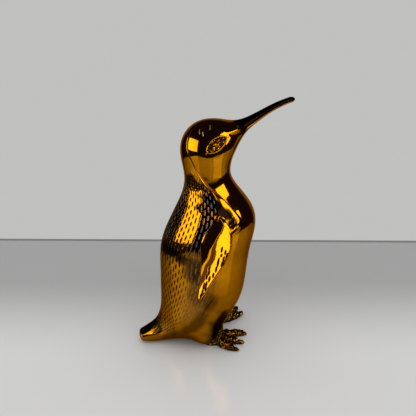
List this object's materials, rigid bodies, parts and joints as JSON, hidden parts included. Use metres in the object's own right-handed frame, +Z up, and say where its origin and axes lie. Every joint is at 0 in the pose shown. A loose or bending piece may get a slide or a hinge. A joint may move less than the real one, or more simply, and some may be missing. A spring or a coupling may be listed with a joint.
{
  "type": "animal figurine",
  "caption": "Standing penguin ornament in polished brass, hollow cast, long upturned bill, folded flippers, engraved feather coat, rests on its webbed feet and tail tip",
  "frame": {"origin": "middle of the footprint of the bounding box, on the surface that the figurine stands on", "axes": "+X is the way the bird faces, +Y its left side, +Z up"},
  "size_m": [0.1808, 0.1422, 0.2811],
  "materials": {
    "polished_brass": "mirror polished, dark patina left in the engraved strokes",
    "patinated_brass": "as-cast skin with dark patina, rubbed bright on the high spots"
  },
  "bodies": {
    "root": {"body_right_shell": "polished_brass", "body_left_shell": "polished_brass", "bill": "polished_brass", "right_flipper": "polished_brass", "left_flipper": "polished_brass", "right_foot": "patinated_brass", "left_foot": "patinated_brass"}
  },
  "joints": []
}
